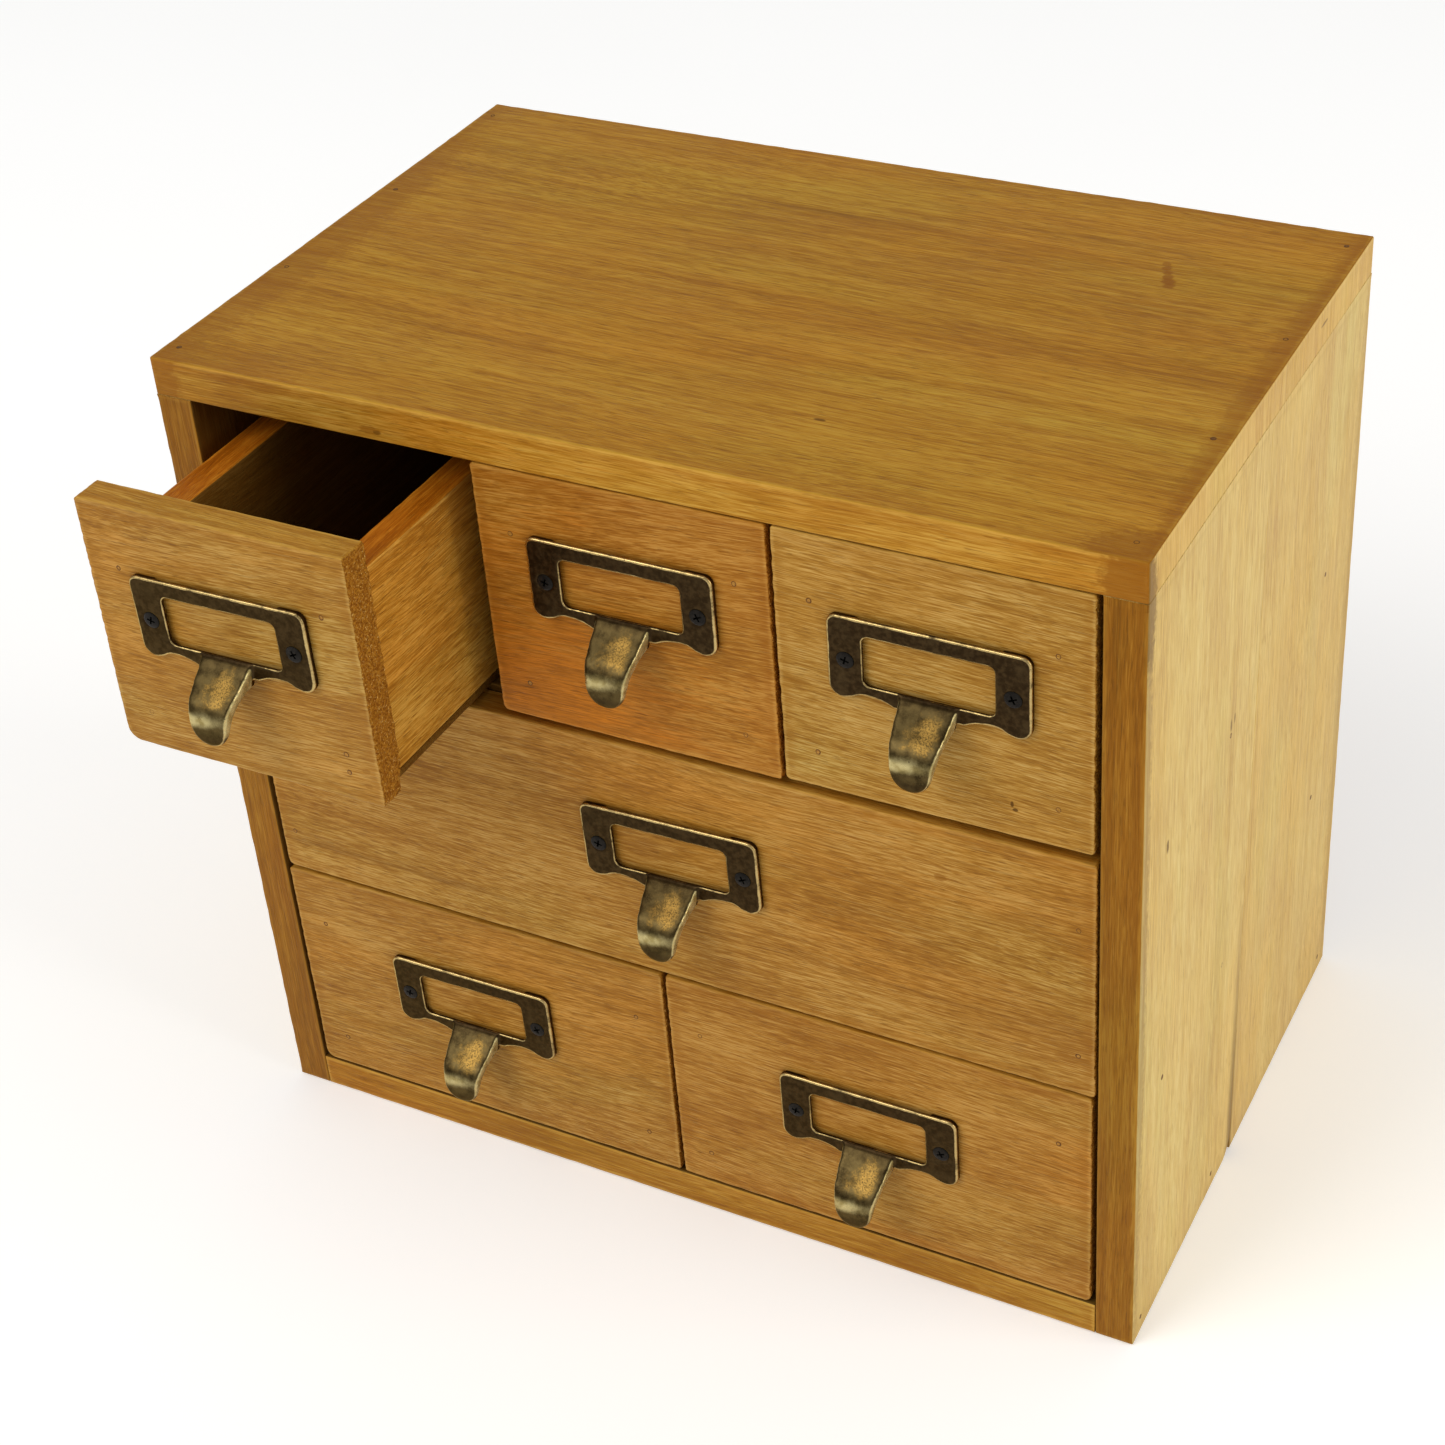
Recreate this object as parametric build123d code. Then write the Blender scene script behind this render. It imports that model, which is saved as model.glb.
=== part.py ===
from build123d import *
import math
import os

# Desktop chest of six wooden drawers with cast label-holder pulls.
# Millimetres. Origin: centre of the carcass footprint on the surface it
# stands on. +X to the right seen from the front, +Y to the back, +Z up.

# ---------------------------------------------------------------- carcass
WIDTH = 300.0            # outside, left to right
DEPTH = 190.0            # carcass front edge to back
HEIGHT = 276.0           # underside to top
BOARD = 12.0             # top, bottom and side boards
SHELF = 8.0              # the two shelves
DIVIDER = 10.0           # upright dividers
BACK_PANEL = 4.0         # thin panel let in between the sides
UPPER_SHELF_TOP = 180.4
LOWER_SHELF_TOP = 95.0
SIDE_SEAM = 92.0         # glue line of the right side, from the front edge
EDGE = 0.8               # eased outer edges
DIVIDER_X = {"upper_left_divider": 104.9, "upper_right_divider": 195.8, "lower_divider": 149.3}

# ---------------------------------------------------------------- drawers
FRONT = 10.0             # thickness of a drawer front
SIDE = 10.0              # thickness of the box's sides and back
PLY = 2.5                # drawer bottom, pinned under the box
SIDE_DROP = 13.5         # the box's sides stop this far below the front's top
BOX_BACK = 180.0         # outside of the box's back, from the carcass front
REVEAL = 0.5             # from the front's back face to shelf and divider edges
CORNER_BOTTOM = {        # rounded lower corners of a front, left and right
    "top_left": (4.5, 1.2), "top_middle": (2.2, 1.2), "top_right": (1.5, 1.5),
    "wide": (2.2, 1.2), "bottom_left": (3.2, 1.4), "bottom_right": (1.2, 2.2)}
CORNER_TOP = 1.0
FRONT_EDGE = 0.6         # softened arris of a front's face
OPEN_TOP_LEFT = 54.5     # the top left drawer stands open by this much

# name: front x0, x1, z0, z1; box x0, x1, z0 (all from the carcass's lower
# left front corner), pull centre x, screw line z, pull tilt in degrees
DRAWERS = {
    "top_left": (13.3, 101.2, 182.7, 263.5, 19.3, 95.3, 180.9, 57.1, 229.7, 0.7),
    "top_middle": (105.3, 195.3, 180.9, 263.4, 111.2, 189.4, 180.9, 150.2, 230.7, 0.0),
    "top_right": (196.3, 286.6, 181.8, 263.4, 202.2, 281.0, 180.9, 241.1, 227.9, -0.3),
    "wide": (13.6, 287.4, 95.6, 178.5, 14.2, 286.8, 95.5, 157.3, 142.1, 1.2),
    "bottom_left": (13.2, 148.8, 12.7, 94.2, 19.0, 142.8, 12.5, 78.4, 57.1, 0.7),
    "bottom_right": (149.9, 286.6, 12.7, 94.3, 155.8, 281.0, 12.5, 216.5, 57.3, 0.2),
}

# ------------------------------------------------------ label-holder pull
HOLDER_W = 57.8
HOLDER_T = 2.0
HOLDER_TOP = 13.7        # above the screw line
WINDOW_W = 37.4
WINDOW_LO = -7.0
WINDOW_HI = 8.6
CARD_SLOT = 0.8          # depth of the slot behind the window
SCREW_PITCH = 47.4
SCREW_HEAD_R = 2.5
SCREW_R = 1.1
SCREW_LEN = 8.0
BRAD_R = 0.6
BRAD_HEAD_R = 0.9


def at(x, y, z):
    """Point measured from the carcass's lower left front corner."""
    return (x - WIDTH / 2, y - DEPTH / 2, z)


def block(x0, x1, y0, y1, z0, z1):
    a, b = at(x0, y0, z0), at(x1, y1, z1)
    c = [(p + q) / 2 for p, q in zip(a, b)]
    return Pos(*c) * Box(x1 - x0, y1 - y0, z1 - z0)


def ease(solid, edges, r=EDGE):
    return fillet(edges, r)


def brad(x, y, z, direction, length):
    """A headed pin: head flush with the surface at x, y, z, shank along direction."""
    along = {"+Y": Rot(-90, 0, 0), "-Z": Rot(180, 0, 0), "-X": Rot(0, -90, 0), "+X": Rot(0, 90, 0)}[direction]
    head = Pos(0, 0, 0.3) * Cylinder(BRAD_HEAD_R, 0.6)
    shank = Pos(0, 0, 0.6 + (length - 0.6) / 2) * Cylinder(BRAD_R, length - 0.6)
    return Pos(*at(x, y, z)) * along * (head + shank)


def cut_all(solid, tools):
    for t in tools:
        solid = solid - t
    return solid


nodes = {}

# ---------------------------------------------------------------- carcass
top_z = HEIGHT - BOARD
carcass_brads = []
for y, xl, xr in ((8.0, 4.8, 293.6), (62.0, 4.2, 294.6), (120.0, 5.2, 295.4), (180.4, 4.2, 294.4)):
    carcass_brads.append(brad(xl, y, HEIGHT, "-Z", 30.0))
    carcass_brads.append(brad(xr, y, HEIGHT, "-Z", 30.0))
for z, ys in ((6.0, (6.4, 70.0, 182.0)), (LOWER_SHELF_TOP - SHELF / 2, (20.0, 72.0, 160.0)),
              (UPPER_SHELF_TOP - SHELF / 2, (19.0, 71.0, 160.0))):
    for y in ys:
        carcass_brads.append(brad(0.0, y, z, "+X", 26.0))
        carcass_brads.append(brad(WIDTH, y, z, "-X", 26.0))

top = block(0, WIDTH, 0, DEPTH, top_z, HEIGHT)
top = fillet(top.edges().group_by(Axis.Z)[-1] + top.edges().filter_by(Axis.Z), EDGE)
nodes["top_board"] = top

nodes["bottom_board"] = block(BOARD, WIDTH - BOARD, 0, DEPTH, 0, BOARD)

left = block(0, BOARD, 0, DEPTH, 0, top_z)
nodes["left_side_board"] = fillet(left.edges().filter_by(Axis.Z).group_by(Axis.X)[0], EDGE)
rf = block(WIDTH - BOARD, WIDTH, 0, SIDE_SEAM, 0, top_z)
nodes["right_side_front_board"] = fillet(
    rf.edges().filter_by(Axis.Z).group_by(Axis.X)[-1].sort_by(Axis.Y)[0], EDGE)
rb = block(WIDTH - BOARD, WIDTH, SIDE_SEAM, DEPTH, 0, top_z)
nodes["right_side_back_board"] = fillet(
    rb.edges().filter_by(Axis.Z).group_by(Axis.X)[-1].sort_by(Axis.Y)[-1], EDGE)

nodes["back_panel"] = block(BOARD, WIDTH - BOARD, DEPTH - BACK_PANEL, DEPTH, BOARD, top_z)
edge_y = FRONT + REVEAL          # front edges of shelves and dividers
inside_y = DEPTH - BACK_PANEL    # front of the back panel
# the bottom board stops at the back panel's foot, so the panel stands on it
nodes["upper_shelf"] = block(BOARD, WIDTH - BOARD, edge_y, inside_y, UPPER_SHELF_TOP - SHELF, UPPER_SHELF_TOP)
nodes["lower_shelf"] = block(BOARD, WIDTH - BOARD, edge_y, inside_y, LOWER_SHELF_TOP - SHELF, LOWER_SHELF_TOP)
for name in ("upper_left_divider", "upper_right_divider"):
    x = DIVIDER_X[name]
    nodes[name] = block(x - DIVIDER / 2, x + DIVIDER / 2, edge_y, inside_y, UPPER_SHELF_TOP, top_z)
x = DIVIDER_X["lower_divider"]
nodes["lower_divider"] = block(x - DIVIDER / 2, x + DIVIDER / 2, edge_y, inside_y, BOARD, LOWER_SHELF_TOP - SHELF)

for name in ("top_board", "bottom_board", "left_side_board", "right_side_front_board",
             "right_side_back_board", "upper_shelf", "lower_shelf"):
    box = nodes[name].bounding_box()
    hits = []
    for b in carcass_brads:
        bb = b.bounding_box()
        if (bb.min.X < box.max.X and bb.max.X > box.min.X and bb.min.Y < box.max.Y
                and bb.max.Y > box.min.Y and bb.min.Z < box.max.Z and bb.max.Z > box.min.Z):
            hits.append(b)
    nodes[name] = cut_all(nodes[name], hits)
nodes["carcass_brads"] = Compound(carcass_brads)


# ------------------------------------------------------ label-holder pull
def smooth(points, per=6):
    """Catmull-Rom points through an open list."""
    out = []
    n = len(points)
    for i in range(n - 1):
        p0 = points[max(i - 1, 0)]
        p1, p2 = points[i], points[i + 1]
        p3 = points[min(i + 2, n - 1)]
        for k in range(per):
            t = k / per
            out.append(tuple(
                0.5 * (2 * b + (c - a) * t + (2 * a - 5 * b + 4 * c - d) * t * t
                       + (3 * b - a - 3 * c + d) * t ** 3)
                for a, b, c, d in zip(p0, p1, p2, p3)))
    out.append(points[-1])
    return out


def arc(cx, cz, r, a0, a1, n=5):
    return [(cx + r * math.cos(math.radians(a0 + (a1 - a0) * i / n)),
             cz + r * math.sin(math.radians(a0 + (a1 - a0) * i / n))) for i in range(n + 1)]


def holder_outline():
    """Frame outline: small radii at the top, a lobe under each screw, a shallow scallop, then the pull's root."""
    hw = HOLDER_W / 2
    right = arc(hw - 3.0, HOLDER_TOP - 3.0, 3.0, 90, 0)
    right += arc(hw - 4.0, -8.3, 4.0, 0, -100, 7)
    right += smooth([(22.0, -11.6), (19.6, -10.4), (16.0, -10.3), (12.6, -11.0), (9.9, -12.2)], 3)
    left_half = [(-x, z) for x, z in reversed(right)]
    return right + left_half


def tongue_outline():
    right = smooth([(8.1, -7.3), (8.0, -10.0), (7.6, -12.6), (7.0, -15.2), (6.4, -18.0), (6.0, -20.5), (5.6, -22.8),
                    (4.7, -25.0), (3.0, -26.7), (1.5, -27.35), (0.0, -27.6)], 3)
    return right + [(-x, z) for x, z in reversed(right[:-1])]


def tongue_profile():
    """Side view, y outwards negative: slopes out from under the window, then turns down to the tip."""
    outer = smooth([(-2.0, -7.3), (-3.3, -8.2), (-4.9, -9.5), (-6.8, -10.9), (-8.7, -12.3), (-10.6, -13.6),
                    (-12.4, -15.0), (-13.8, -16.7), (-14.8, -18.9), (-15.3, -21.5), (-15.4, -24.5), (-15.1, -27.9)], 3)
    inner = smooth([(-12.5, -27.9), (-12.5, -25.0), (-12.2, -22.4), (-11.2, -20.0), (-9.4, -17.8), (-7.0, -16.0),
                    (-4.4, -15.0), (-2.2, -14.6), (-0.85, -14.4), (-0.85, -12.4), (-0.85, -9.5), (-0.85, -7.3)], 3)
    return outer + inner


def make_pull():
    out = (0, -1, 0)
    plate = extrude(Plane.XZ * Polygon(*holder_outline(), align=None), HOLDER_T, dir=out)
    face = plate.faces().sort_by(Axis.Y)[0]
    plate = chamfer(face.edges(), 0.35)
    wz = (WINDOW_LO + WINDOW_HI) / 2
    window = extrude(Plane.XZ * Pos(0, wz) * RectangleRounded(WINDOW_W, WINDOW_HI - WINDOW_LO, 2.0), 6, dir=out)
    plate = plate - Pos(0, 1, 0) * window
    plate = plate - Pos(0, -CARD_SLOT / 2, 7.0) * Box(41.0, CARD_SLOT, 32.0)
    for s in (-1, 1):
        hole = Pos(s * SCREW_PITCH / 2, -1.0, 0) * Rot(90, 0, 0) * Cylinder(SCREW_R + 0.1, 4)
        sink = Pos(s * SCREW_PITCH / 2, -HOLDER_T + 0.7, 0) * Rot(90, 0, 0) * Cone(SCREW_R + 0.1, SCREW_HEAD_R + 0.15, 1.4)
        plate = plate - hole - sink
    tongue = (extrude(Plane.YZ * Polygon(*tongue_profile(), align=None), 12, both=True)
              & extrude(Plane.XZ * Polygon(*tongue_outline(), align=None), 20, dir=out))
    return plate + tongue


def make_screw():
    """Countersunk cross-head screw, head outwards along -Y, origin on the board's face."""
    t = HOLDER_T
    half = [(0, -t - 0.28), (1.3, -t - 0.2), (2.1, -t - 0.08), (SCREW_HEAD_R, -t + 0.05), (SCREW_HEAD_R, -t + 0.12),
            (SCREW_R, -t + 1.42), (SCREW_R, SCREW_LEN - 1.6), (0.0, SCREW_LEN)]
    body = revolve(Plane.XY * Polygon(*half, align=None), Axis.Y)
    cross = Box(2.6, 1.0, 0.55) + Box(0.55, 1.0, 2.6)
    return body - Pos(0, -t - 0.28 + 0.5, 0) * Rot(0, 40, 0) * cross


PULL = make_pull()
SCREW = make_screw()


# ---------------------------------------------------------------- drawers
def make_front(key, x0, x1, z0, z1):
    f = block(x0, x1, 0, FRONT, z0, z1)
    for i, r in enumerate(CORNER_BOTTOM[key]):
        # the lower corner edge on this side is the lowest of the two that run along the side's height
        low = f.edges().filter_by(Axis.Y).group_by(Axis.Z)[0].sort_by(Axis.X)
        f = fillet(low[0] if i == 0 else low[-1], r)
    f = fillet(f.edges().filter_by(Axis.Y).group_by(Axis.Z)[-1], CORNER_TOP)
    return fillet(f.faces().sort_by(Axis.Y)[0].edges(), FRONT_EDGE)


def tiltable(x, z, tilt):
    return Pos(*at(x, 0, z)) * Rot(0, -tilt, 0)


for key, (x0, x1, z0, z1, bx0, bx1, bz0, px, pz, tilt) in DRAWERS.items():
    shift = Pos(0, -OPEN_TOP_LEFT, 0) if key == "top_left" else Pos(0, 0, 0)
    sz0, sz1 = bz0 + PLY, z1 - SIDE_DROP
    front = make_front(key, x0, x1, z0, z1)
    left_side = block(bx0, bx0 + SIDE, FRONT, BOX_BACK, sz0, sz1)
    right_side = block(bx1 - SIDE, bx1, FRONT, BOX_BACK, sz0, sz1)
    left_side = fillet(left_side.edges().filter_by(Axis.Y).group_by(Axis.Z)[-1], 1.0)
    right_side = fillet(right_side.edges().filter_by(Axis.Y).group_by(Axis.Z)[-1], 1.0)
    back = block(bx0 + SIDE, bx1 - SIDE, BOX_BACK - SIDE, BOX_BACK, sz0, sz1)
    bottom = block(bx0, bx1, FRONT, BOX_BACK, bz0, sz0)

    # pins through the front into the ends of both sides
    zs = {"top_left": ((192.2, 198.2, 243.0), (194.6, 243.0)), "wide": ((109.8, 155.2), (110.5, 155.0))}.get(
        key, ((z0 + 12.6, z1 - 20.5), (z0 + 12.0, z1 - 20.5)))
    pins = [brad(bx1 - SIDE / 2 + 0.4, 0, z, "+Y", 24.0) for z in zs[0]]
    pins += [brad(bx0 + SIDE / 2 - 0.4, 0, z, "+Y", 24.0) for z in zs[1]]
    nr = len(zs[0])
    front = cut_all(front, pins)
    right_side = cut_all(right_side, pins[:nr])
    left_side = cut_all(left_side, pins[nr:])

    place = tiltable(px, pz, tilt)
    pull = place * PULL
    screws = [place * Pos(s * SCREW_PITCH / 2, 0, 0) * Rot(0, 25 * s, 0) * SCREW for s in (-1, 1)]
    front = cut_all(front, screws)

    for part, solid in (("front", front), ("left_side", left_side), ("right_side", right_side), ("back", back),
                        ("bottom", bottom), ("label_pull", pull)):
        nodes[f"{key}_{part}"] = shift * solid
    nodes[f"{key}_pull_screws"] = Compound([shift * s for s in screws])
    nodes[f"{key}_front_brads"] = Compound([shift * p for p in pins])

os.makedirs("parts", exist_ok=True)
for name, shape in nodes.items():
    export_step(shape, f"parts/{name}.step")
print(len(nodes), "nodes")
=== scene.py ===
import math

import bpy
import bmesh
import numpy as np
from mathutils import Matrix, Vector
from mathutils.kdtree import KDTree


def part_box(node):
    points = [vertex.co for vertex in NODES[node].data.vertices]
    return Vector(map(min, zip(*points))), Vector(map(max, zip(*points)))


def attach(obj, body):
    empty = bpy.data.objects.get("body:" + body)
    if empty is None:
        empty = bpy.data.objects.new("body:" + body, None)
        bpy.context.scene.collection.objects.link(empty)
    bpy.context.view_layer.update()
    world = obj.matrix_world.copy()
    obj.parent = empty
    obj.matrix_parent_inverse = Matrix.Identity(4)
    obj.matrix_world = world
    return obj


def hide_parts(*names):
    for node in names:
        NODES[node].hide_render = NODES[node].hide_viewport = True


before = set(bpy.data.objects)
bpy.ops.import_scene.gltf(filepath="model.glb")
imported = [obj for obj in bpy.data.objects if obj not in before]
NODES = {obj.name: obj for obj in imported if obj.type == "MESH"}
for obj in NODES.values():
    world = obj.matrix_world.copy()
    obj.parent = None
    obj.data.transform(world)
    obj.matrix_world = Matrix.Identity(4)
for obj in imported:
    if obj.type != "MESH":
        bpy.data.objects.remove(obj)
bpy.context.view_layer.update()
MM = 0.001
KEYS = ("top_left", "top_middle", "top_right", "wide", "bottom_left", "bottom_right")


# ------------------------------------------------------------------ helpers
class Waves:
    """Smooth noise of about unit size: a seeded sum of sines, for displacing meshes."""

    def __init__(self, seed, count, low, high):
        rng = np.random.default_rng(seed)
        k = rng.normal(size=(count, 3))
        k /= np.linalg.norm(k, axis=1)[:, None]
        self.k = (k * rng.uniform(low, high, count)[:, None] * 2 * math.pi).T
        self.phase = rng.uniform(0, 2 * math.pi, count)
        amp = rng.uniform(0.5, 1.0, count)
        self.amp = amp / math.sqrt((amp**2).sum() / 2)

    def __call__(self, p):
        return (np.sin(p @ self.k + self.phase) * self.amp).sum(1)


def smooth01(x, a, b):
    t = np.clip((x - a) / (b - a), 0, 1)
    return t * t * (3 - 2 * t)


def add_attribute(mesh, name, values):
    values = np.asarray(values, np.float32)
    if values.ndim == 1:
        att = mesh.attributes.new(name, "FLOAT", "POINT")
        att.data.foreach_set("value", values)
    else:
        att = mesh.attributes.new(name, "FLOAT_VECTOR", "POINT")
        att.data.foreach_set("vector", values.ravel())


def make_object(name, verts, faces, body, material, smooth=True):
    mesh = bpy.data.meshes.new(name)
    mesh.from_pydata([tuple(v) for v in verts], [], [tuple(int(i) for i in f) for f in faces])
    mesh.update()
    if smooth:
        mesh.shade_smooth()
    obj = bpy.data.objects.new(name, mesh)
    bpy.context.scene.collection.objects.link(obj)
    mesh.materials.append(material)
    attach(obj, body)
    return obj


# ------------------------------------------------------------------ shader nodes
class Graph:
    """Short calls for building a node tree."""

    def __init__(self, name):
        self.mat = bpy.data.materials.new(name)
        self.mat.use_nodes = True
        self.tree = self.mat.node_tree
        self.tree.nodes.clear()
        self.x = 0
        self.out = self.new("ShaderNodeOutputMaterial")
        self.bsdf = self.new("ShaderNodeBsdfPrincipled")
        self.tree.links.new(self.bsdf.outputs[0], self.out.inputs[0])

    def new(self, kind):
        n = self.tree.nodes.new(kind)
        n.location = (self.x, 0)
        self.x -= 40
        return n

    def put(self, socket, value):
        if hasattr(value, "is_linked") or isinstance(value, bpy.types.NodeSocket):
            self.tree.links.new(value, socket)
        else:
            socket.default_value = value

    def attribute(self, name, vector=False):
        n = self.new("ShaderNodeAttribute")
        n.attribute_name = name
        return n.outputs["Vector" if vector else "Fac"]

    def rest(self):
        return self.new("ShaderNodeTexCoord").outputs["Object"]

    def math(self, op, a, b=0.0, c=0.0, clamp=False):
        n = self.new("ShaderNodeMath")
        n.operation = op
        n.use_clamp = clamp
        self.put(n.inputs[0], a)
        self.put(n.inputs[1], b)
        self.put(n.inputs[2], c)
        return n.outputs[0]

    def vec(self, op, a, b=(0, 0, 0)):
        n = self.new("ShaderNodeVectorMath")
        n.operation = op
        self.put(n.inputs[0], a)
        self.put(n.inputs[1], b)
        return n.outputs["Value" if op in ("LENGTH", "DOT_PRODUCT", "DISTANCE") else "Vector"]

    def noise(self, vector, scale=1.0, detail=2.0, rough=0.5, distort=0.0):
        n = self.new("ShaderNodeTexNoise")
        n.noise_dimensions = "3D"
        self.put(n.inputs["Vector"], vector)
        n.inputs["Scale"].default_value = scale
        n.inputs["Detail"].default_value = detail
        n.inputs["Roughness"].default_value = rough
        n.inputs["Distortion"].default_value = distort
        return n.outputs["Fac"]

    def remap(self, v, a, b, c=0.0, d=1.0, smooth=True):
        n = self.new("ShaderNodeMapRange")
        n.interpolation_type = "SMOOTHSTEP" if smooth else "LINEAR"
        n.clamp = True
        self.put(n.inputs[0], v)
        for i, x in enumerate((a, b, c, d)):
            n.inputs[1 + i].default_value = x
        return n.outputs[0]

    def ramp(self, v, stops):
        n = self.new("ShaderNodeValToRGB")
        r = n.color_ramp
        r.interpolation = "B_SPLINE" if len(stops) > 3 else "LINEAR"
        while len(r.elements) < len(stops):
            r.elements.new(0.5)
        for e, (p, col) in zip(r.elements, stops):
            e.position = p
            e.color = (*col, 1.0)
        self.put(n.inputs[0], v)
        return n.outputs[0]

    def mix(self, f, a, b, mode="MIX"):
        n = self.new("ShaderNodeMix")
        n.data_type = "RGBA"
        n.blend_type = mode
        n.clamp_factor = True
        self.put(n.inputs[0], f)
        self.put(n.inputs[6], a if not isinstance(a, tuple) else (*a, 1.0))
        self.put(n.inputs[7], b if not isinstance(b, tuple) else (*b, 1.0))
        return n.outputs[2]

    def scale(self, v, k):
        n = self.new("ShaderNodeVectorMath")
        n.operation = "MULTIPLY"
        self.put(n.inputs[0], v)
        n.inputs[1].default_value = k
        return n.outputs[0]

    def bump(self, height, strength, distance, normal=None):
        n = self.new("ShaderNodeBump")
        n.inputs["Strength"].default_value = strength
        n.inputs["Distance"].default_value = distance
        self.put(n.inputs["Height"], height)
        if normal is not None:
            self.put(n.inputs["Normal"], normal)
        return n.outputs[0]

    def combine(self, x, y, z):
        n = self.new("ShaderNodeCombineXYZ")
        for i, v in enumerate((x, y, z)):
            self.put(n.inputs[i], v)
        return n.outputs[0]

    def split(self, v):
        n = self.new("ShaderNodeSeparateXYZ")
        self.put(n.inputs[0], v)
        return n.outputs[0], n.outputs[1], n.outputs[2]


def wood(name, dark, mid, light, orange, *, streak=1.0, fine=1.0, fibre=1.0, blotch=0.5, wear=0.5,
         rough=0.5, coat=0.03, bump=0.5, marks=(), fibre_len=150.0, rim=0.35, end_dark=0.8, cloudy=0.35, coords="gc",
         specular=0.12, strong=1.35, flecks=0.0, sharp=0.0):
    """Stained open-grained wood. Reads the grain coordinates gc, the distance to the nearest arris ed (mm),
    the end-grain share eg, the painted shade dk (a dark band along the side's seam) and the board's own tone tn."""
    g = Graph(name)
    gc = g.attribute(coords, True)
    ed = g.attribute("ed")
    eg = g.attribute("eg") if coords == "gc" else 0.0
    dk = g.attribute("dk")
    tone, warm, streaky = g.split(g.attribute("tn", True))
    # the grain wanders a little
    wander = g.noise(g.scale(gc, (4.0, 14.0, 14.0)), 1.0, 2.0, 0.5)
    wander = g.math("MULTIPLY", g.math("SUBTRACT", wander, 0.5), 0.016)
    p = g.vec("ADD", gc, g.combine(0.0, wander, wander))
    broad = g.noise(g.scale(p, (2.2, 62.0, 62.0)), 1.0, 3.0, 0.55)
    lines = g.noise(g.scale(p, (7.0, 330.0, 330.0)), 1.0, 3.0, 0.6)
    strands = g.noise(g.scale(p, (46.0, 1450.0, 1450.0)), 1.0, 2.0, 0.65)
    fibres = g.noise(g.scale(p, (0.7 * fibre_len, 2700.0, 2700.0)), 1.0, 2.0, 0.7)
    patches = g.noise(g.scale(p, (9.0, 26.0, 26.0)), 1.0, 3.0, 0.55)
    cloud = g.noise(g.scale(gc, (24.0, 40.0, 40.0)), 1.0, 2.0, 0.5)
    # value: 0 dark to 1 light
    v = g.math("MULTIPLY_ADD", g.math("SUBTRACT", broad, 0.5), streak, 0.5)
    v = g.math("MULTIPLY_ADD", g.math("SUBTRACT", lines, 0.5), fine, v)
    v = g.math("MULTIPLY_ADD", g.math("SUBTRACT", strands, 0.5), 0.55 * fibre, v)
    v = g.math("MULTIPLY_ADD", g.math("SUBTRACT", fibres, 0.5), strong * fibre, v)
    v = g.math("MULTIPLY_ADD", g.math("SUBTRACT", cloud, 0.5), cloudy, v)
    col = g.ramp(v, [(0.08, dark), (0.36, tuple(0.5 * (a + b) for a, b in zip(dark, mid))), (0.52, mid),
                     (0.68, tuple(0.5 * (a + b) for a, b in zip(mid, light))), (0.95, light)])
    # thin pale fibres that took little stain
    pale = g.remap(g.noise(g.scale(p, (60.0, 1900.0, 1900.0)), 1.0, 2.0, 0.6), 0.58, 0.66)
    col = g.mix(g.math("MULTIPLY", pale, 0.42 * fibre), col, light)
    # late-wood lines: narrow, darker, and only in places
    late = g.remap(g.noise(g.scale(p, (3.0, 175.0, 175.0)), 1.0, 4.0, 0.62), 0.60, 0.72)
    late = g.math("MULTIPLY", late, g.math("MULTIPLY", streaky, g.remap(broad, 0.35, 0.7, 1.0, 0.25)))
    col = g.mix(late, col, tuple(0.85 * d for d in dark))
    # stain that took unevenly, towards orange
    took = g.math("ADD", patches, g.math("MULTIPLY", g.math("SUBTRACT", strands, 0.5), 0.35))
    took = g.math("MULTIPLY", g.remap(took, 0.44, 0.68), g.math("MULTIPLY", warm, blotch))
    deep = g.mix(g.remap(v, 0.25, 0.8, smooth=False), tuple(0.70 * a for a in orange), tuple(1.38 * a for a in orange))
    col = g.mix(took, col, deep)
    olive = g.remap(g.noise(g.scale(p, (7.0, 30.0, 30.0)), 1.0, 2.0, 0.5), 0.50, 0.68, 0.0, 0.5)
    col = g.mix(g.math("MULTIPLY", olive, g.math("SUBTRACT", 1.0, took)), col,
                g.vec("MULTIPLY", col, (0.97, 1.10, 1.12)))
    # short dark pores along the grain
    pores = g.remap(g.noise(g.scale(p, (170.0, 2600.0, 2600.0)), 1.0, 1.0, 0.5), 0.63, 0.72)
    col = g.mix(g.math("MULTIPLY", pores, 0.50 * fibre), col, tuple(0.7 * d for d in dark))
    # end grain: granular, soaked
    grit = g.noise(g.scale(gc, (900.0, 1300.0, 1300.0)), 1.0, 3.0, 0.7)
    soaked = g.mix(g.remap(grit, 0.40, 0.60), tuple(0.55 * a for a in orange), tuple(1.02 * a for a in mid))
    if flecks:
        bits = g.remap(g.noise(g.scale(gc, (1300.0, 1900.0, 1500.0)), 1.0, 2.0, 0.6), 0.60, 0.68, 0.0, flecks)
        soaked = g.mix(bits, soaked, tuple(1.1 * a for a in light))
    if coords == "gc":
        col = g.mix(g.math("MULTIPLY", g.remap(eg, 0.30, 0.68), end_dark), col, soaked)
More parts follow.
